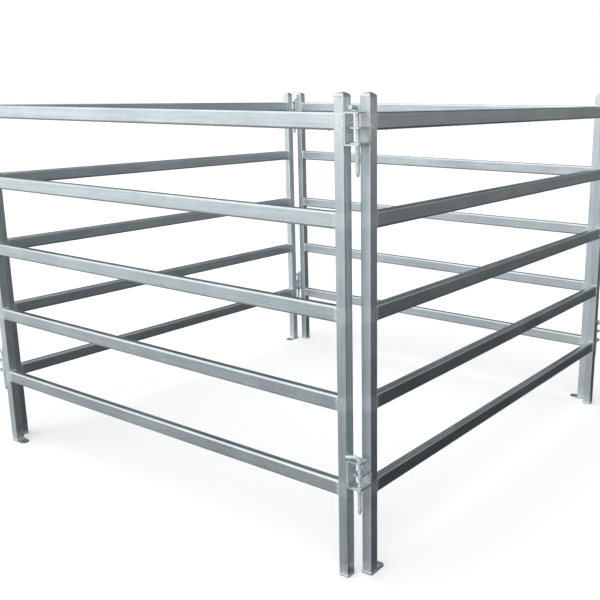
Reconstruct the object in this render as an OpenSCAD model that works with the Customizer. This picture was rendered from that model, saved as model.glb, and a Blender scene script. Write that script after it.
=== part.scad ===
// Square stock pen of four identical five-rail panels, pinned together at the corners.
// Z is up, the ground is z = 0 and the pen's centre is the origin.
// One panel is modelled along +X from its foot post to its pin post, with the corner's
// pin axis at x = 0, and four copies are turned a quarter turn each around the pen.

/* [Panel] */
// Length of a panel over its two posts
panel_l = 2100; // [1500:10:3000]
// Height of a post over its top cap
post_h = 1680; // [1500:10:2100]
// Width of the square post tube
post_w = 40; // [36:1:60]
// Wall of the post tube
post_wall = 2; // [1.5:0.1:4]
// Outside corner radius of the post tube
post_r = 4; // [3.5:0.5:6]

/* [Rails] */
// Number of rails in a panel
rail_count = 5; // [3:1:6]
// Height of a rail's section
rail_h = 56; // [40:1:70]
// Depth of a rail's section, front to back
rail_d = 34; // [20:1:34]
// Wall of the rail tube
rail_wall = 2; // [1.5:0.1:3]
// Outside corner radius of the rail tube
rail_r = 8; // [4:0.5:9]
// Height of the lowest rail's centre line
first_rail_z = 336; // [250:1:400]
// Drop from the top of the cap to the top rail's centre line
top_rail_drop = 90; // [60:1:140]

/* [Post ends] */
// Rise of the domed cap above its rim
dome_h = 14; // [6:1:18]
// Height of the straight rim under the dome
cap_rim = 2; // [1:0.5:4]
// Depth of the cap's plug inside the tube
cap_plug = 14; // [8:1:25]
// Thickness of the plate that closes the pin post's lower end
base_t = 4; // [3:0.5:8]
// Thickness of the foot plate
foot_t = 6; // [4:0.5:10]
// Reach of the foot plate beyond its post
foot_reach = 46; // [40:1:80]
// Corner radius of the foot plate's free end
foot_r = 14; // [8:1:17]
// Diameter of the ground peg hole
peg_hole_d = 16; // [10:1:18]
// Distance of the peg hole's centre from the post
peg_hole_x = 24; // [18:1:30]

/* [Lugs] */
// Thickness of the flat bar that the lugs are bent from
lug_t = 5; // [4:0.5:8]
// Width of the flat bar of a long lug
long_lug_w = 45; // [40:1:46]
// Width of the flat bar of a short lug
short_lug_w = 40; // [36:1:42]
// Overall height of a long lug
long_lug_h = 104; // [95:1:140]
// Overall height of a short lug
short_lug_h = 53; // [40:1:60]
// Distance from a post's face to the pin axis
pin_offset = 39; // [38:1:50]
// Reach of a lug's ears beyond the pin axis
ear_reach = 18; // [14:1:19]
// Corner radius of an ear's free end
ear_r = 8; // [4:1:12]
// Inside radius of the bend between web and ear
bend_in_r = 1; // [0.5:0.5:3]
// Height of the underside of the lower hinge
lower_hinge_z = 350; // [280:1:420]
// Drop from the cap's top to the upper side of the upper hinge
upper_hinge_drop = 60; // [40:1:120]

/* [Pins] */
// Diameter of the bent drop pin
pin_d = 14; // [10:1:15]
// Radial play between the pin and the holes in the ears
pin_play = 1.5; // [1:0.25:3]
// Length of pin below the top ear that it hangs on
pin_drop = 200; // [150:1:280]
// Inside radius of the pin's bend
pin_bend_in = 13; // [8:1:18]
// Reach of the bent handle from the pin axis
handle_reach = 48; // [40:1:80]
// Length of the tapered point at the pin's lower end
pin_point = 10; // [4:1:16]
// Direction of an upper pin's handle, seen from above
upper_handle_turn = -80; // [-120:5:-45]
// Clearance between a lower pin's handle and the post that it lies beside
handle_clear = 2; // [1:0.5:6]

/* [Hidden] */
// Gap between pieces that bear on each other but belong to different bodies
seat_gap = 0.3;
// Slack around the cap's plug in the tube
plug_slack = 0.3;
// Overlap that keeps cutters clear of the faces they cut
over = 1;
steel = [0.72, 0.75, 0.76];
bright_zinc = [0.82, 0.85, 0.86];
$fn = 48;

pitch = panel_l + 2 * pin_offset;
half = pitch / 2;
first_post_x = pin_offset;
last_post_x = pitch - pin_offset - post_w;
rail_l = panel_l - 2 * post_w;
tube_top = post_h - dome_h - cap_rim;
top_rail_z = post_h - top_rail_drop;
rail_step = (top_rail_z - first_rail_z) / (rail_count - 1);
upper_hinge_z = post_h - upper_hinge_drop - long_lug_h;
hinge_zs = [lower_hinge_z, upper_hinge_z];
hinge_names = ["lower", "upper"];
pin_r = pin_d / 2;
pin_bend = pin_r + pin_bend_in;
ear_hole_r = pin_r + pin_play;
// A lower pin's handle passes the rounded corner of the pin post, whose centre lies here.
corner_side = post_w / 2 - post_r;
corner_ahead = pin_offset + post_r;
corner_miss = asin((pin_r + post_r + handle_clear) / norm([corner_side, corner_ahead]));
lower_handle_turn = atan2(corner_side, corner_ahead) + corner_miss - 180;
handle_turns = [lower_handle_turn, upper_handle_turn];
// A corner lies at each panel's foot post end, and its panel turns by its quarter.
panel_names = ["front_right", "back_right", "back_left", "front_left"];
corner_names = ["front", "right", "back", "left"];

function rail_names() = [for (i = [1:rail_count]) str("rail_", i)];

// Outline of a rectangle with four round corners, centred on the origin
module rounded(w, h, r) {
    square([w - 2 * r, h], center = true);
    square([w, h - 2 * r], center = true);
    for (x = [-1, 1], y = [-1, 1])
        translate([x * (w / 2 - r), y * (h / 2 - r)]) circle(r);
}

module tube_section(w, h, r, wall) {
    difference() {
        rounded(w, h, r);
        rounded(w - 2 * wall, h - 2 * wall, r - wall);
    }
}

// Upright square tube whose outer face is at x, standing on a plate
module post(x, plate_t) {
    color(steel)
        translate([x + post_w / 2, 0, plate_t])
            linear_extrude(tube_top - plate_t) tube_section(post_w, post_w, post_r, post_wall);
}

// Rail between the posts' inner faces, at its own height
module rail(i) {
    color(steel)
        translate([first_post_x + post_w, 0, first_rail_z + i * rail_step])
            rotate([90, 0, 90])
                linear_extrude(rail_l) tube_section(rail_d, rail_h, rail_r, rail_wall);
}

// Domed cap with a plug that sits in the top of the tube
module cap(x) {
    dome_r = (pow(post_w / 2, 2) + pow(dome_h, 2)) / (2 * dome_h);
    plug_w = post_w - 2 * post_wall - 2 * plug_slack;
    color(steel)
        translate([x + post_w / 2, 0, tube_top]) {
            intersection() {
                linear_extrude(cap_rim + dome_h) rounded(post_w, post_w, post_r);
                translate([0, 0, cap_rim + dome_h - dome_r])
                    rotate([90, 0, 0]) cylinder(h = 2 * post_w, r = dome_r, center = true, $fn = 96);
                translate([0, 0, cap_rim + dome_h - dome_r])
                    rotate([0, 90, 0]) cylinder(h = 2 * post_w, r = dome_r, center = true, $fn = 96);
            }
            translate([0, 0, -cap_plug])
                linear_extrude(cap_plug + cap_rim) rounded(plug_w, plug_w, post_r - post_wall);
        }
}

module caps() {
    cap(first_post_x);
    cap(last_post_x);
}

// Plain plate that closes the pin post
module base_plate() {
    color(steel)
        translate([last_post_x + post_w / 2, 0, 0]) linear_extrude(base_t) rounded(post_w, post_w, post_r);
}

// Plate under the foot post, carried on along the panel as a tab with a ground peg hole
module foot_plate() {
    tab_end = post_w + foot_reach;
    color(steel)
        translate([first_post_x, 0, 0])
            linear_extrude(foot_t)
                difference() {
                    union() {
                        translate([0, -post_w / 2]) square([tab_end - foot_r, post_w]);
                        translate([0, foot_r - post_w / 2]) square([tab_end, post_w - 2 * foot_r]);
                        for (y = [-1, 1])
                            translate([tab_end - foot_r, y * (post_w / 2 - foot_r)]) circle(foot_r);
                    }
                    translate([post_w + peg_hole_x, 0]) circle(d = peg_hole_d);
                }
}

// U-shaped lug of flat bar: the web lies on a post's face at x = 0 and the ears reach
// towards -X, past the pin axis, which both ears are drilled for. The bar's outer edge is
// flush with the post's outer face.
module lug(h, w) {
    ear_l = pin_offset + ear_reach;
    color(bright_zinc)
        difference() {
            intersection() {
                translate([0, w - post_w / 2, 0])
                    rotate([90, 0, 0])
                        linear_extrude(w)
                            difference() {
                                translate([-ear_l, 0]) lug_side(ear_l, h, lug_t + bend_in_r);
                                translate([-ear_l - lug_t, lug_t])
                                    lug_side(ear_l, h - 2 * lug_t, bend_in_r);
                            }
                translate([-ear_l, -post_w / 2, 0]) linear_extrude(h) ear_outline(ear_l, w);
            }
            translate([-pin_offset, 0, -over]) cylinder(h = h + 2 * over, r = ear_hole_r);
        }
}

// Side view of a lug: square on the left and rounded by the bends on the right
module lug_side(l, h, r) {
    square([l - r, h]);
    translate([0, r]) square([l, h - 2 * r]);
    for (y = [r, h - r])
        translate([l - r, y]) circle(r);
}

// Top view of a lug: both free corners rounded
module ear_outline(l, w) {
    translate([ear_r, 0]) square([l - ear_r, w]);
    translate([0, ear_r]) square([l, w - 2 * ear_r]);
    for (y = [ear_r, w - ear_r])
        translate([ear_r, y]) circle(ear_r);
}

// The short lugs sit inside the long ones, on their lower ears
module short_lugs() {
    for (z = hinge_zs)
        translate([first_post_x, 0, z + lug_t + seat_gap]) lug(short_lug_h, short_lug_w);
}

module long_lugs() {
    for (z = hinge_zs)
        translate([last_post_x + post_w, 0, z]) mirror([1, 0, 0]) lug(long_lug_h, long_lug_w);
}

// Bent drop pin on the Z axis. The inside of its bend hangs on the edge of the hole in an
// ear whose upper side is at height z.
module drop_pin(z, turn) {
    shank_top = z - sqrt(pow(pin_bend_in - seat_gap, 2) - pow(pin_bend_in - pin_play, 2));
    point_z = z - pin_drop;
    color(bright_zinc)
        rotate([0, 0, turn]) {
            translate([0, 0, point_z + pin_point])
                cylinder(h = shank_top - point_z - pin_point, r = pin_r);
            translate([0, 0, point_z]) cylinder(h = pin_point, r1 = pin_r / 2, r2 = pin_r);
            translate([pin_bend, 0, shank_top])
                rotate([90, 0, 0]) rotate([0, 0, 90])
                    rotate_extrude(angle = 90) translate([pin_bend, 0]) circle(pin_r);
            translate([pin_bend, 0, shank_top + pin_bend])
                rotate([0, 90, 0]) cylinder(h = handle_reach - pin_bend, r = pin_r);
        }
}

module pin_at(h) {
    drop_pin(hinge_zs[h] + long_lug_h, handle_turns[h]);
}

// Turns a panel built along +X into its place as side p of the pen
module side(p) {
    rotate([0, 0, 90 * p]) translate([-half, -half, 0]) children();
}

for (p = [0:3]) {
    side(p) post(first_post_x, foot_t);
    side(p) post(last_post_x, base_t);
    for (i = [1:rail_count])
        side(p) rail(i - 1);
    side(p) long_lugs();
    side(p) short_lugs();
    side(p) foot_plate();
    side(p) base_plate();
    side(p) caps();
    // The pin at a corner hangs on the long lugs of the panel that ends there, side p - 1.
    for (h = [0, 1])
        side(p) rotate([0, 0, -90]) pin_at(h);
}
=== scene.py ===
# %% [markdown]
# # A stock pen of four pinned panels
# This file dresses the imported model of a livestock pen: four identical five-rail panels
# of galvanised tube, pinned together at their corners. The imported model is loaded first
# and is never moved. Everything made here either gives its pieces a better finish or
# adds detail that a welder and a zinc bath leave behind.
#
# Lengths are in metres, Z is up, the ground is z = 0 and the pen's centre is the origin.

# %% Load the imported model
import math
import random

import bmesh
import bpy
from mathutils import Matrix, Vector


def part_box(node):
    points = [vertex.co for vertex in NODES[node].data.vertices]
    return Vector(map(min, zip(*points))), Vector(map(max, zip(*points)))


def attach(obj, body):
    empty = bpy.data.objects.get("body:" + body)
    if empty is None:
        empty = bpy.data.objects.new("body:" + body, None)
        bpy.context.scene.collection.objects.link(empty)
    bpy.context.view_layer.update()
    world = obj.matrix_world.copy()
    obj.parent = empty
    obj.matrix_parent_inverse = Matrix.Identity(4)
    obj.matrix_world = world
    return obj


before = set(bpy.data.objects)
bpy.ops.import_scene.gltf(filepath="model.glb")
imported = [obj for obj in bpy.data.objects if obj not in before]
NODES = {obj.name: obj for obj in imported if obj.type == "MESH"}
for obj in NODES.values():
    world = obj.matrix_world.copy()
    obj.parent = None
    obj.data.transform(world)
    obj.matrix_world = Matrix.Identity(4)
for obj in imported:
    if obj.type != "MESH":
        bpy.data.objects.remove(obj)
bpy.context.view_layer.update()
PANELS = ["front_right", "back_right", "back_left", "front_left"]
CORNERS = ["front", "right", "back", "left"]

# %% [markdown]
# ## Measures taken from the model
# Every piece added below is placed from the boxes of the model's own pieces. The four
# panels are one panel turned by quarter turns about the pen's centre, so a place is
# worked out once for the first panel, which runs along X, and is then turned.

# %% Places on the first panel
FIRST = "front_right"


def size(node):
    low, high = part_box(node)
    return high - low


FOOT_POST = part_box(f"{FIRST}_foot_post")
PIN_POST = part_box(f"{FIRST}_pin_post")
RAILS = [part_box(f"{FIRST}_rail_{i}") for i in range(1, 6)]
PANEL_Y = (FOOT_POST[0].y + FOOT_POST[1].y) / 2
POST_W = size(f"{FIRST}_foot_post").x
RAIL_D, RAIL_H = size(f"{FIRST}_rail_1").y, size(f"{FIRST}_rail_1").z
RAIL_Z = [(low.z + high.z) / 2 for low, high in RAILS]
RAIL_STEP = RAIL_Z[1] - RAIL_Z[0]
RAIL_ENDS = (RAILS[0][0].x, RAILS[0][1].x)
print("post", round(POST_W, 4), "rail", round(RAIL_D, 4), "x", round(RAIL_H, 4))
print("rail heights", [round(z, 4) for z in RAIL_Z])


def quarter(panel):
    """Turns the first panel's place into another panel's."""
    return Matrix.Rotation(math.radians(90) * PANELS.index(panel), 4, "Z")


def at(x, y, z, turn=0.0, axis="Y"):
    """Turns a part about its own origin and then moves it to a place."""
    return Matrix.Translation((x, y, z)) @ Matrix.Rotation(math.radians(turn), 4, axis)


# %% [markdown]
# ## Shader maths
# A procedural finish is mostly sums on numbers that vary over the surface. Written node
# by node they are hard to read, so a small class wraps a socket, and each operator adds
# the Math node that does the sum.

# %% A socket that can be calculated with
class Value:
    def __init__(self, finish, socket):
        self.finish, self.socket = finish, socket

    def maths(self, operation, *values):
        return self.finish.node("ShaderNodeMath", {"operation": operation}, *values)

    def __add__(self, other):
        return self.maths("ADD", self, other)

    def __sub__(self, other):
        return self.maths("SUBTRACT", self, other)

    def __rsub__(self, other):
        return self.maths("SUBTRACT", other, self)

    def __mul__(self, other):
        return self.maths("MULTIPLY", self, other)

    def __truediv__(self, other):
        return self.maths("DIVIDE", self, other)

    __radd__ = __add__
    __rmul__ = __mul__

    def step(self, low, high):
        """0 below low, 1 above high and smooth between them."""
        return self.finish.node(
            "ShaderNodeMapRange", {"interpolation_type": "SMOOTHSTEP"}, self, low, high)


# %% [markdown]
# A second class holds a node tree and makes any node in one call. It takes the node's
# type and its settings, which are set first, and then the values or links of its sockets:
# by their order, or by their names with an underscore for a space. It gives back one
# output, which is chosen with out.

# %% A node tree that makes any node in one call
class Finish:
    def __init__(self, tree):
        self.tree = tree

    def node(self, kind, settings=None, *values, out=0, **named):
        made = self.tree.nodes.new(kind)
        for key, setting in (settings or {}).items():
            setattr(made, key, setting)
        sockets = list(enumerate(values))
        sockets += [(key.replace("_", " "), value) for key, value in named.items()]
        for key, value in sockets:
            if isinstance(value, Value):
                self.tree.links.new(value.socket, made.inputs[key])
            else:
                made.inputs[key].default_value = value
        return Value(self, made.outputs[out]) if made.outputs else None

    def place(self, stretch=(1, 1, 1)):
        """Where a point lies on the piece, stretched for a pattern with a direction."""
        here = self.node("ShaderNodeTexCoord", out="Object")
        return self.node("ShaderNodeMapping", None, here, Scale=stretch)

    def noise(self, vector, scale, detail, rough=0.5):
        return self.node("ShaderNodeTexNoise", Vector=vector, Scale=scale, Detail=detail,
                         Roughness=rough)

    def mix(self, share, first, second):
        """Blends two colours. A Mix node has sockets of one name for each type of data,
        so they are given by their numbers: 6 and 7 are the colours."""
        made = self.node("ShaderNodeMix", {"data_type": "RGBA", "clamp_factor": True}, out=2)
        sockets = made.socket.node.inputs
        for key, value in ((0, share), (6, first), (7, second)):
            if isinstance(value, Value):
                self.tree.links.new(value.socket, sockets[key])
            else:
                sockets[key].default_value = value
        return made


def material(name):
    made = bpy.data.materials.new(name)
    made.use_nodes = True
    made.node_tree.nodes.clear()
    return made, Finish(made.node_tree)


# %% [markdown]
# ## Hot-dip galvanised steel
# The whole pen was dipped in molten zinc. Freshly dipped steel is a cool, slightly green
# grey. It isn't a mirror: the zinc freezes into small crystals, called spangle, that each
# catch the light a little differently, and it runs along the tube as it drains, which
# leaves faint streaks. An image of zinc would repeat and would blur when seen close, so
# the patterns are worked out at each point of the surface. Every pattern has its own
# scale: the larger the scale, the finer the pattern.

# %% Colours and patterns of the zinc
ZINC_DULL = (0.43, 0.485, 0.51, 1)
ZINC_CLEAN = (0.66, 0.735, 0.765, 1)
ZINC_WHITE = (0.86, 0.895, 0.90, 1)
GRIME = (0.17, 0.175, 0.17, 1)
CLOUD, SOIL, RAGGED, PATCH, LUMP, CRYSTAL, GRAIN = 5.0, 34.0, 60.0, 95.0, 130.0, 150.0, 420.0
WIDE_STREAK, THIN_STREAK = 90.0, 240.0
ALONG = {"x": (0.03, 1, 1), "y": (1, 0.03, 1), "z": (1, 1, 0.03)}
BUMP_STRENGTH, BUMP_DEPTH = 0.30, 0.0004
print("the streaks are", round(1 / ALONG["x"][0]), "times as long as they are wide")

# %% [markdown]
# The crystals come from a Voronoi pattern, the streaks from noise stretched along the
# tube, and the dull clouds from large soft noise. Together they make the tone, which
# picks a colour between dull and clean zinc. Where a weld was made, the zinc is whiter
# and rougher, so a finish can take a mask of the welded zones. Spatter does the same in
# small lumps all over a piece.


# %% The galvanised finish
def galvanised(name, along="z", weld_mask=None, roughness=0.30, whiteness_and_painted_light=0.0, spatter=0.0,
               metal=1.0):
    """The whiteness moves the whole finish towards clean zinc and spatter roughens it. On the
    foot posts the added whiteness is painted light, standing in for the stronger light on
    them.
    """
    made, f = material(name)
    here = f.place()
    spangle = f.node("ShaderNodeTexVoronoi", Vector=here, Scale=CRYSTAL, out="Color")
    crystal = f.node("ShaderNodeSeparateColor", None, spangle)
    cloud = f.noise(here, CLOUD, 4.0, 0.55)
    lengthwise = f.place(ALONG[along])
    streak = (0.6 * f.noise(lengthwise, WIDE_STREAK, 3.0, 0.6)
              + 0.4 * f.noise(lengthwise, THIN_STREAK, 2.0))
    grain = f.noise(here, GRAIN, 2.0, 0.6)
    tone = 0.32 * cloud.step(0.30, 0.70) + 0.48 * streak.step(0.32, 0.68) + 0.20 * crystal
    colour = f.mix(tone + whiteness_and_painted_light, ZINC_DULL, ZINC_CLEAN)
    rough = roughness - 0.05 + 0.10 * cloud + 0.04 * crystal
    height = 0.12 * crystal + 0.50 * streak + 0.10 * grain
    if spatter:
        lumps = spatter * f.noise(here, LUMP, 4.0, 0.65).step(0.46, 0.62)
        colour = f.mix(lumps, colour, ZINC_WHITE)
        rough = rough + 0.15 * lumps
        metal = metal - 0.30 * lumps
        height = height + 2.2 * lumps
    if weld_mask:
        patchy = f.noise(here, PATCH, 4.0, 0.7).step(0.40, 0.62)
        frost = weld_mask(f) * (0.35 + 0.65 * patchy)
        colour = f.mix(frost, colour, ZINC_WHITE)
        rough = rough + 0.18 * frost
        metal = metal - 0.45 * frost
        height = height + 1.6 * frost
    soil = f.noise(here, SOIL, 5.0, 0.7).step(0.62, 0.80)
    colour = f.mix(0.45 * soil, colour, GRIME)
    bump = f.node("ShaderNodeBump", Strength=BUMP_STRENGTH, Distance=BUMP_DEPTH,
                  Height=height)
    shader = f.node("ShaderNodeBsdfPrincipled", Base_Color=colour, Metallic=metal,
                    Roughness=rough, Normal=bump)
    f.node("ShaderNodeOutputMaterial", None, shader)
    return made


# %% [markdown]
# ## Where the welds are
# A rail's zinc is frosted over its last 24 mm at both ends. A post's is frosted around the
# height of each rail, at its foot and under its cap. The masks come from how far a point
# is from the weld, in metres, made from the Object coordinates, which move with the piece.
# A little noise is added to the distance, so that the frost has a ragged edge.

# %% Masks of the welded zones
FROST_FULL, FROST_END = 0.004, 0.024
FOOT_FULL, FOOT_END = 0.010, 0.035
HEAD_BELOW, HEAD_ABOVE = 0.2, 0.02
HEAD_SHARE, BAND_SHARE = 0.70, 0.30


def coordinate(f, axis):
    here = f.node("ShaderNodeTexCoord", out="Object")
    return f.node("ShaderNodeSeparateXYZ", None, here, out=axis)


def absolute(value):
    return value.maths("ABSOLUTE", value)


def rail_weld(axis):
    """Near a rail's two ends, which are equally far from the pen's middle."""
    reach = abs(RAIL_ENDS[0])

    def mask(f):
        from_end = reach - absolute(coordinate(f, axis))
        ragged = f.noise(f.place(), RAGGED, 2.0)
        return 1.0 - (from_end + 0.012 * ragged).step(FROST_FULL, FROST_END)
    return mask


def post_weld(f):
    """Around each rail on a post, by the distance to the nearest rail's centre line, and
    at the post's two ends."""
    z = coordinate(f, "Z")
    steps = (z - RAIL_Z[0]) / RAIL_STEP
    nearest = absolute(steps - steps.maths("ROUND", steps)) * RAIL_STEP
    ragged = f.noise(f.place(), RAGGED, 2.0)
    band = 1.0 - (nearest + 0.014 * ragged).step(RAIL_H / 2, RAIL_H / 2 + FROST_END / 2)
    foot = 1.0 - (z + 0.02 * ragged).step(FOOT_FULL, FOOT_END)
    head = z.step(RAIL_Z[-1] - HEAD_BELOW, RAIL_Z[-1] + HEAD_ABOVE)
    cover = BAND_SHARE * band + foot + HEAD_SHARE * head
    return cover.maths("MINIMUM", cover, 1.0)


print("frost reaches", round(1000 * FROST_END), "mm from a rail's end")

# %% [markdown]
# ## A finish for each kind of piece
# The tubes are smooth, and their streaks run along them. The lugs and pins are small parts
# that come out of the bath with more zinc on them, so they are whiter and lumpier. The
# plates and caps are duller. The foot posts are made whiter than the pin posts, which is
# painted light for the stronger light falling on them. The finish is chosen from the piece's
# name.

# %% Finishes for the model's own pieces
FINISHES = {
    "pin_post": galvanised("galvanised_pin_post", "z", post_weld, 0.34, whiteness_and_painted_light=-0.10),
    # The foot posts are whitened as painted light for the stronger light falling on them.
    "foot_post": galvanised("galvanised_foot_post_with_painted_light", "z", post_weld, 0.42, whiteness_and_painted_light=0.22),
    "rail_x": galvanised("galvanised_rail_x", "x", rail_weld("X")),
    "rail_y": galvanised("galvanised_rail_y", "y", rail_weld("Y")),
    "lug": galvanised("galvanised_lug", roughness=0.38, whiteness_and_painted_light=0.45, spatter=0.85),
    "plate": galvanised("galvanised_plate", roughness=0.38, whiteness_and_painted_light=-0.35, spatter=0.15),
    "cap": galvanised("galvanised_cap", roughness=0.42, whiteness_and_painted_light=-0.30, spatter=0.30),
    "pin": galvanised("bright_zinc_pin", roughness=0.40, whiteness_and_painted_light=0.90, spatter=0.70,
                      metal=0.55),
    "weld": galvanised("weld_zinc", roughness=0.42, whiteness_and_painted_light=0.45, spatter=0.75),
}


def finish_for(name):
    for word in ("lug", "plate", "cap", "pin_post", "foot_post", "pin"):
        if word in name:
            return word
    turned = PANELS.index(name.split("_rail")[0]) % 2
    return ("rail_x", "rail_y")[turned]


for name, node in NODES.items():
    node.data.materials.clear()
    node.data.materials.append(FINISHES[finish_for(name)])
print(len(FINISHES), "finishes on", len(NODES), "pieces")

# %% [markdown]
# ## Weld beads
# A weld bead is a ridge of small overlapping ripples, where each puddle of molten steel
# froze against the last one. A bump map could draw it, but it would be flat at the
# outline, so the beads are real shapes. A bead around a tube starts as one ring of
# vertices that follows the joint: a grid of one face, with its corners rounded and its
# edges cut into steps of half a ripple. Its vertices are then put in their order along
# the joint.

# %% The ring that a bead follows
RIPPLE = 0.0042
PACE = RIPPLE / 2


def outline(wide, high, round_r):
    """A ring of vertices on a rounded rectangle, in a plane of constant Z."""
    bm = bmesh.new()
    bmesh.ops.create_grid(bm, x_segments=1, y_segments=1, size=0.5)
    bmesh.ops.scale(bm, vec=(wide, high, 1), verts=bm.verts)
    bmesh.ops.bevel(bm, geom=bm.verts[:], offset=round_r, segments=4, profile=0.5,
                    affect="VERTICES", offset_type="OFFSET", material=-1)
    bmesh.ops.delete(bm, geom=bm.faces[:], context="FACES_ONLY")
    for edge in bm.edges[:]:
        cuts = math.ceil(edge.calc_length() / PACE) - 1
        if cuts > 0:
            bmesh.ops.subdivide_edges(bm, edges=[edge], cuts=cuts)
    return bm


def ring_order(bm):
    """The ring's vertices in their order along the joint."""
    bm.verts.ensure_lookup_table()
    first = bm.verts[0]
    ring, last = [first], None
    while True:
        here = ring[-1]
        step = [e.other_vert(here) for e in here.link_edges]
        ahead = [v for v in step if v is not last]
        last = here
        if ahead[0] is first or (len(ring) > 2 and first in step):
            return ring
        ring.append(ahead[0])


# %% [markdown]
# The ring is extruded a few times, and each copy is moved to the next point across the
# bead, which gives a strip that is bridged into a closed ring. The bead swells and thins
# along the joint, once for each ripple and, at random, over a longer stretch.

# %% A bead around a rounded outline
RIPPLE_LOW = 0.74
SWELLS = 23
# Points across a bead, as shares of its two legs: away from the tube, and along it.
ACROSS = [(-0.10, -0.5), (0.9, -0.5), (1.0, 0.30), (0.68, 0.68), (0.34, 0.98), (-0.10, 1.0)]
RAIL_R = 0.008
RAIL_LEGS = (0.0030, 0.0052)


def new_verts(made):
    """The vertices among what an extrusion made."""
    return [v for v in made["geom"] if isinstance(v, bmesh.types.BMVert)]


def edges_of(bm, loop):
    """The edges that join the vertices of one loop."""
    loop = set(loop)
    return [e for e in bm.edges if e.verts[0] in loop and e.verts[1] in loop]


def bead_ring(wide, high, round_r, legs, seed):
    """A bead in the corner between a tube of that outline and the face it stands on. Its
    first leg is over the face and its second is along the tube, which runs along +Z."""
    bm = outline(wide, high, round_r)
    ring = ring_order(bm)
    inner_w, inner_h = wide / 2 - round_r, high / 2 - round_r
    draw = random.Random(seed)
    swell = [draw.uniform(0.80, 1.12) for _ in range(SWELLS)]
    outward, ripple, run = [], [], 0.0
    for i, vert in enumerate(ring):
        core = Vector((max(-inner_w, min(inner_w, vert.co.x)),
                       max(-inner_h, min(inner_h, vert.co.y)), 0))
        outward.append((vert.co - core).normalized())
        run += (vert.co - ring[i - 1].co).length if i else 0.0
        wave = abs(math.sin(math.pi * run / RIPPLE))
        ripple.append((RIPPLE_LOW + (1 - RIPPLE_LOW) * wave) * swell[SWELLS * i // len(ring)])
    base = [vert.co.copy() for vert in ring]
    loops = [ring]
    for _ in ACROSS[1:]:
        made = bmesh.ops.extrude_edge_only(bm, edges=edges_of(bm, loops[-1]))
        fresh = {tuple(v.co): v for v in new_verts(made)}
        loops.append([fresh[tuple(v.co)] for v in loops[-1]])
    for loop, (out, up) in zip(loops, ACROSS):
        for vert, start, away, rise in zip(loop, base, outward, ripple):
            lift = rise if out > 0 and up > 0 else 1.0
            sideways = away * (out * legs[0] * lift)
            vert.co = start + sideways + Vector((0, 0, up * legs[1] * lift))
    bmesh.ops.bridge_loops(bm, edges=[e for e in bm.edges if e.is_boundary])
    bmesh.ops.recalc_face_normals(bm, faces=bm.faces)
    return bm


trial = bead_ring(RAIL_D, RAIL_H, RAIL_R, RAIL_LEGS, 1)
print("one rail bead has", len(trial.faces), "faces")
trial.free()

# %% [markdown]
# ## Joining beads into one piece
# All beads of one kind on one panel are one object, which keeps the model easy to handle.
# Each bead is made at the origin, turned and moved to its joint on the first panel, and
# then turned with the panel.


# %% Pieces from several small meshes
def gather(name, parts, panel, finish, body=None):
    """parts holds (bmesh, matrix on the first panel) pairs. The piece rides on the panel
    unless another body is named."""
    whole = bmesh.new()
    for bm, matrix in parts:
        bm.transform(matrix)
        loose = bpy.data.meshes.new("part")
        bm.to_mesh(loose)
        bm.free()
        whole.from_mesh(loose)
        bpy.data.meshes.remove(loose)
    whole.transform(quarter(panel))
    mesh = bpy.data.meshes.new(name)
    whole.to_mesh(mesh)
    whole.free()
    for face in mesh.polygons:
        face.use_smooth = True
    mesh.materials.append(FINISHES[finish])
    piece = bpy.data.objects.new(name, mesh)
    bpy.context.scene.collection.objects.link(piece)
    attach(piece, body or panel)
    return piece


# %% [markdown]
# ## Beads around the rails' ends
# Each rail is welded all around, where its end meets a post. The bead is made with the
# rail's height along its X, so it is turned by a quarter to stand up, and its second leg
# then points along the rail.

# %% Beads around the rail ends
for p, panel in enumerate(PANELS):
    beads = []
    for i, z in enumerate(RAIL_Z):
        for end, turn in ((0, 90), (1, -90)):
            bead = bead_ring(RAIL_H, RAIL_D, RAIL_R, RAIL_LEGS, 100 * p + 10 * i + end)
            beads.append((bead, at(RAIL_ENDS[end], PANEL_Y, z, turn)))
    piece = gather(f"{panel}_rail_welds", beads, panel, "weld")
print("rail welds:", len(piece.data.polygons), "faces a panel")

# %% [markdown]
# ## Beads on the lugs
# A lug's web lies flat on the post, whose corners are rounded, so a groove is left behind
# each long edge of the web, and another under each bend. The welder fills all four. A
# straight bead is a small ring that is extruded many times: each copy is as thick as its
# ripple, the ends are drawn in, and the two last rings are closed.

# %% A straight bead
LUG_BEAD_R = 0.0021
# How thick the last, the second last and every other ring is.
DRAWN_IN = (0.45, 0.85, 1.0)


def bead_line(length, radius, seed):
    """A bead along Z with its middle at the origin."""
    bm = bmesh.new()
    bmesh.ops.create_circle(bm, cap_ends=False, segments=8, radius=radius)
    bmesh.ops.translate(bm, verts=bm.verts, vec=(0, 0, -length / 2))
    count = math.ceil(length / PACE)
    draw = random.Random(seed)
    loops = [bm.verts[:]]
    for _ in range(count):
        made = bmesh.ops.extrude_edge_only(bm, edges=edges_of(bm, loops[-1]))
        loops.append(new_verts(made))
        bmesh.ops.translate(bm, verts=loops[-1], vec=(0, 0, length / count))
    for i, loop in enumerate(loops):
        from_end = min(i, count - i)
        ripple = 0.86 + 0.14 * abs(math.sin(math.pi * i * length / count / RIPPLE))
        thick = ripple * draw.uniform(0.92, 1.08) * DRAWN_IN[min(from_end, 2)]
        bmesh.ops.scale(bm, vec=(thick, thick, 1), verts=loop)
    bmesh.ops.holes_fill(bm, edges=[e for e in bm.edges if e.is_boundary], sides=0)
    bmesh.ops.recalc_face_normals(bm, faces=bm.faces)
    return bm


def spans(node):
    """The lowest and highest Z of the lower and of the upper lug, which share a node."""
    heights = sorted({round(v.co.z, 5) for v in NODES[node].data.vertices})
    middle = (heights[0] + heights[-1]) / 2
    lower = [z for z in heights if z < middle]
    upper = [z for z in heights if z > middle]
    return (lower[0], lower[-1]), (upper[0], upper[-1])


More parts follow.
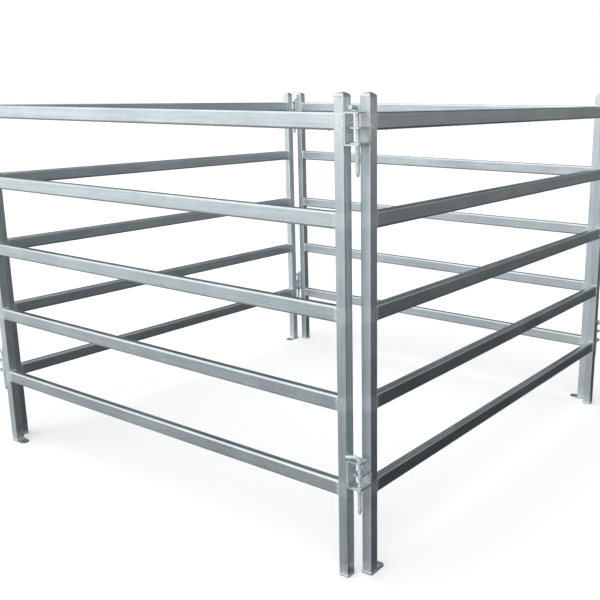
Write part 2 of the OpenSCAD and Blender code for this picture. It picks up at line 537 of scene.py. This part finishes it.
LONG_LUGS = spans(f"{FIRST}_long_lugs")
SHORT_LUGS = spans(f"{FIRST}_short_lugs")
print("long lugs", LONG_LUGS, "short lugs", SHORT_LUGS)

# %% [markdown]
# The beads along a web's sides stop short of the bends. The ones above and below it lie
# across the post, just inside the flat bar's outer faces.

# %% Beads around the webs of the lugs
BEND_CLEAR, CORNER_CLEAR = 0.012, 0.008
SUNK, PROUD, INSIDE = 0.0004, 0.0012, 0.0019
for p, panel in enumerate(PANELS):
    beads = []
    # Each row: the post's face, the way out of the post, and the lugs on it.
    for face, out, lugs in ((PIN_POST[1].x, 1, LONG_LUGS), (FOOT_POST[0].x, -1, SHORT_LUGS)):
        for low, high in lugs:
            seed = 1000 + 100 * p + int(1000 * (low + high)) + out
            for side in (1, -1):
                bead = bead_line(high - low - BEND_CLEAR, LUG_BEAD_R, seed + side)
                beads.append((bead, at(face - out * SUNK, PANEL_Y + side * POST_W / 2,
                                       (low + high) / 2)))
                z = (high if side > 0 else low) - side * INSIDE
                bead = bead_line(POST_W - CORNER_CLEAR, LUG_BEAD_R, seed + 7 * side)
                beads.append((bead, at(face + out * PROUD, PANEL_Y, z, 90, "X")))
    piece = gather(f"{panel}_lug_welds", beads, panel, "weld")
print("lug welds:", len(piece.data.polygons), "faces a panel")

# %% [markdown]
# ## Beads at the feet
# Both posts stand on a plate and are welded to it all around. The plates are no wider than
# the posts, so these beads lie over a seam, and they are smaller than the others.

# %% Beads at the feet of the posts
POST_R = 0.004
FOOT_LEGS = (0.0016, 0.0036)
for p, panel in enumerate(PANELS):
    beads = []
    for post, plate, seed in ((FOOT_POST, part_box(f"{FIRST}_foot_plate"), 501),
                              (PIN_POST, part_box(f"{FIRST}_base_plate"), 502)):
        bead = bead_ring(POST_W, POST_W, POST_R, FOOT_LEGS, 10 * p + seed)
        beads.append((bead, at((post[0].x + post[1].x) / 2, PANEL_Y, plate[1].z)))
    piece = gather(f"{panel}_foot_welds", beads, panel, "weld")
print("foot welds:", len(piece.data.polygons), "faces a panel")

# %% [markdown]
# ## Drips of zinc
# As a panel is lifted out of the bath, the last zinc runs to the lowest edges and freezes
# there in small drops. A drop is a sphere whose lower half is drawn out downwards. Drops
# hang under the long lugs and, near the posts, under the rails. The short lugs swing close
# above the long ones, so nothing hangs under them.

# %% A drop and where drops hang
DROP_TAPER = 0.85
LUG_EDGE_IN, RAIL_EDGE_IN = 0.004, 0.010


def drop(radius, length):
    """A drop hanging from the origin, with its upper half buried in the piece above."""
    bm = bmesh.new()
    bmesh.ops.create_uvsphere(bm, u_segments=12, v_segments=8, radius=radius)
    lower = [v for v in bm.verts if v.co.z < 0]
    bmesh.ops.scale(bm, vec=(DROP_TAPER, DROP_TAPER, length / radius), verts=lower)
    return bm


for p, panel in enumerate(PANELS):
    draw = random.Random(70 + p)
    lug_drops, rail_drops = [], []
    for low, _ in LONG_LUGS:
        for side in (-1, 1):
            x = PIN_POST[1].x + draw.uniform(0.008, 0.016)
            y = PANEL_Y + side * (POST_W / 2 - LUG_EDGE_IN)
            made = drop(draw.uniform(0.0014, 0.0020), draw.uniform(0.003, 0.005))
            lug_drops.append((made, at(x, y, low)))
    for z in RAIL_Z:
        for end, inward in ((0, 1), (1, -1)):
            x = RAIL_ENDS[end] + inward * draw.uniform(0.02, 0.09)
            y = PANEL_Y + draw.uniform(-1, 1) * (RAIL_D / 2 - RAIL_EDGE_IN)
            made = drop(draw.uniform(0.0012, 0.0020), draw.uniform(0.003, 0.006))
            rail_drops.append((made, at(x, y, z - RAIL_H / 2)))
    gather(f"{panel}_lug_drips", lug_drops, panel, "weld")
    gather(f"{panel}_rail_drips", rail_drops, panel, "weld")
print("drops:", len(lug_drops), "on lugs and", len(rail_drops), "on rails of each panel")

# %% [markdown]
# ## Runs of zinc on the pins
# The drop pins are dipped hanging from their handles, so zinc gathers on their lower ends
# in flat runs. A run is a sphere that is flattened against the pin and drawn out along
# it. It stands less proud than the play in the lugs' holes, so the pin still lifts out.

# %% Runs near the pins' points
PIN_R = 0.007
RUNS = 16
RUN_SUNK = 0.0008
RUN_LOW, RUN_HIGH = 0.016, 0.086
for p, corner in enumerate(CORNERS):
    for h, height in enumerate(("lower", "upper")):
        pin = f"{corner}_{height}_pin"
        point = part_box(pin)[0].z
        draw = random.Random(200 + 10 * p + h)
        runs = []
        for _ in range(RUNS):
            run = bmesh.new()
            bmesh.ops.create_uvsphere(run, u_segments=14, v_segments=8, radius=1)
            deep, wide, long = (draw.uniform(0.0014, 0.0018), draw.uniform(0.0022, 0.0036),
                                draw.uniform(0.005, 0.013))
            bmesh.ops.scale(run, verts=run.verts, vec=(deep, wide, long))
            bmesh.ops.translate(run, vec=(PIN_R - RUN_SUNK, 0, 0), verts=run.verts)
            # The front corner lies where the middle lines of its two panels cross.
            place = at(PANEL_Y, PANEL_Y, point + draw.uniform(RUN_LOW, RUN_HIGH),
                       draw.uniform(0, 360), "Z")
            runs.append((run, place))
        gather(f"{pin}_runs", runs, PANELS[p], "pin", pin)
print(RUNS, "runs on each pin")

# %% [markdown]
# ## Stage
# The pen stands on a pale floor in soft light. Metal shows what surrounds it, so the
# surroundings matter more than any lamp. The floor is left out of the reflections, which
# keeps the undersides and the low rails dark as they are over a dark yard.

# %% Floor
FLOOR_HALF = 60.0
FLOOR_GREY, FLOOR_GLOW = (0.92, 0.92, 0.92, 1), 0.19
floor_bm = bmesh.new()
bmesh.ops.create_grid(floor_bm, x_segments=1, y_segments=1, size=FLOOR_HALF)
floor_mesh = bpy.data.meshes.new("floor")
floor_bm.to_mesh(floor_mesh)
floor_bm.free()
floor = bpy.data.objects.new("floor", floor_mesh)
bpy.context.scene.collection.objects.link(floor)
floor_material, f = material("pale_floor")
f.node("ShaderNodeOutputMaterial", None, f.node(
    "ShaderNodeBsdfPrincipled", Base_Color=FLOOR_GREY, Roughness=1.0,
    Emission_Color=(1, 1, 1, 1), Emission_Strength=FLOOR_GLOW))
floor_mesh.materials.append(floor_material)
floor.visible_glossy = False
floor.visible_diffuse = False
print("the floor is", 2 * FLOOR_HALF, "m wide")

# %% [markdown]
# ## Light
# The light is worked out from its direction. It is bright to the west, fair to the south
# and dark to the north-east at the level of the horizon, and dim below it. A bright patch
# lies overhead, dimmer straight up, so that the rails' upper faces aren't blown out. A
# low light from the north-east gives the far sides of the pen some shape. The camera sees
# plain white behind the pen.

# %% Soft light from all around
HORIZON, SOUTH_LIGHT, WEST_LIGHT = 0.09, 0.35, 1.27
BELOW, WEST_BELOW = 0.05, 0.36
OVERHEAD, BEHIND, ZENITH_DIM = 1.9, 0.42, 0.40
world = bpy.data.worlds.new("soft_studio")
world.use_nodes = True
world.node_tree.nodes.clear()
bpy.context.scene.world = world
f = Finish(world.node_tree)
towards = f.node("ShaderNodeTexCoord", out="Generated")
east, north, up = (f.node("ShaderNodeSeparateXYZ", None, towards, out=axis)
                   for axis in "XYZ")
west = (0.5 - 0.45 * east + 0.16 * north).step(0.50, 0.80)
south = (0.0 - north).step(0.0, 0.6)
horizon = HORIZON + SOUTH_LIGHT * south + WEST_LIGHT * west
below = BELOW + WEST_BELOW * west
level = (up + 0.05 * west).step(-0.33, 0.06)
light = below + level * (horizon - below)
overhead = (up + 0.20 * north - 0.25 * east).step(0.56, 0.90)
light = light + overhead * (OVERHEAD - light)
behind = (0.6 * east + 0.7 * north).step(0.35, 0.85)
light = light + BEHIND * behind * (1.0 - up.step(-0.36, -0.10))
light = light * (1.0 - ZENITH_DIM * up.step(0.74, 0.98))
seen = f.node("ShaderNodeLightPath", out="Is Camera Ray")
strength = light + seen * (1.0 - light)
background = f.node("ShaderNodeBackground", Color=(1.0, 1.0, 1.0, 1), Strength=strength)
f.node("ShaderNodeOutputWorld", None, background)
print("the light has", len(world.node_tree.nodes), "nodes")

# %% [markdown]
# ## Camera
# The camera stands a little above the top rails, outside the near corner, and looks
# slightly down. Its picture is a part of a wider one, which the sideways shift gives.

# %% Camera
CAMERA_AT = Vector((-3.1695, -2.6654, 1.6723))
AZIMUTH, DOWN, ROLL = (math.radians(a) for a in (-55.507, 13.899, 0.300))
SENSOR = 36.0
SIDE = 600
FOCAL, CENTRE_X, CENTRE_Y = 825.26, 395.68, 298.75
ahead = Vector((-math.sin(AZIMUTH) * math.cos(DOWN), math.cos(AZIMUTH) * math.cos(DOWN),
                -math.sin(DOWN)))
level_right = Vector((math.cos(AZIMUTH), math.sin(AZIMUTH), 0))
level_up = level_right.cross(ahead)
right = math.cos(ROLL) * level_right + math.sin(ROLL) * level_up
upward = math.cos(ROLL) * level_up - math.sin(ROLL) * level_right
camera_data = bpy.data.cameras.new("camera")
camera_data.sensor_width = SENSOR
camera_data.lens = SENSOR * FOCAL / SIDE
camera_data.shift_x = (SIDE / 2 - CENTRE_X) / SIDE
camera_data.shift_y = (CENTRE_Y - SIDE / 2) / SIDE
camera = bpy.data.objects.new("camera", camera_data)
camera.matrix_world = Matrix.Translation(CAMERA_AT) @ Matrix(
    (right, upward, -ahead)).transposed().to_4x4()
bpy.context.scene.collection.objects.link(camera)
bpy.context.scene.camera = camera
bpy.context.scene.view_settings.view_transform = "Standard"
print("lens", round(camera_data.lens, 2), "shift", round(camera_data.shift_x, 4))
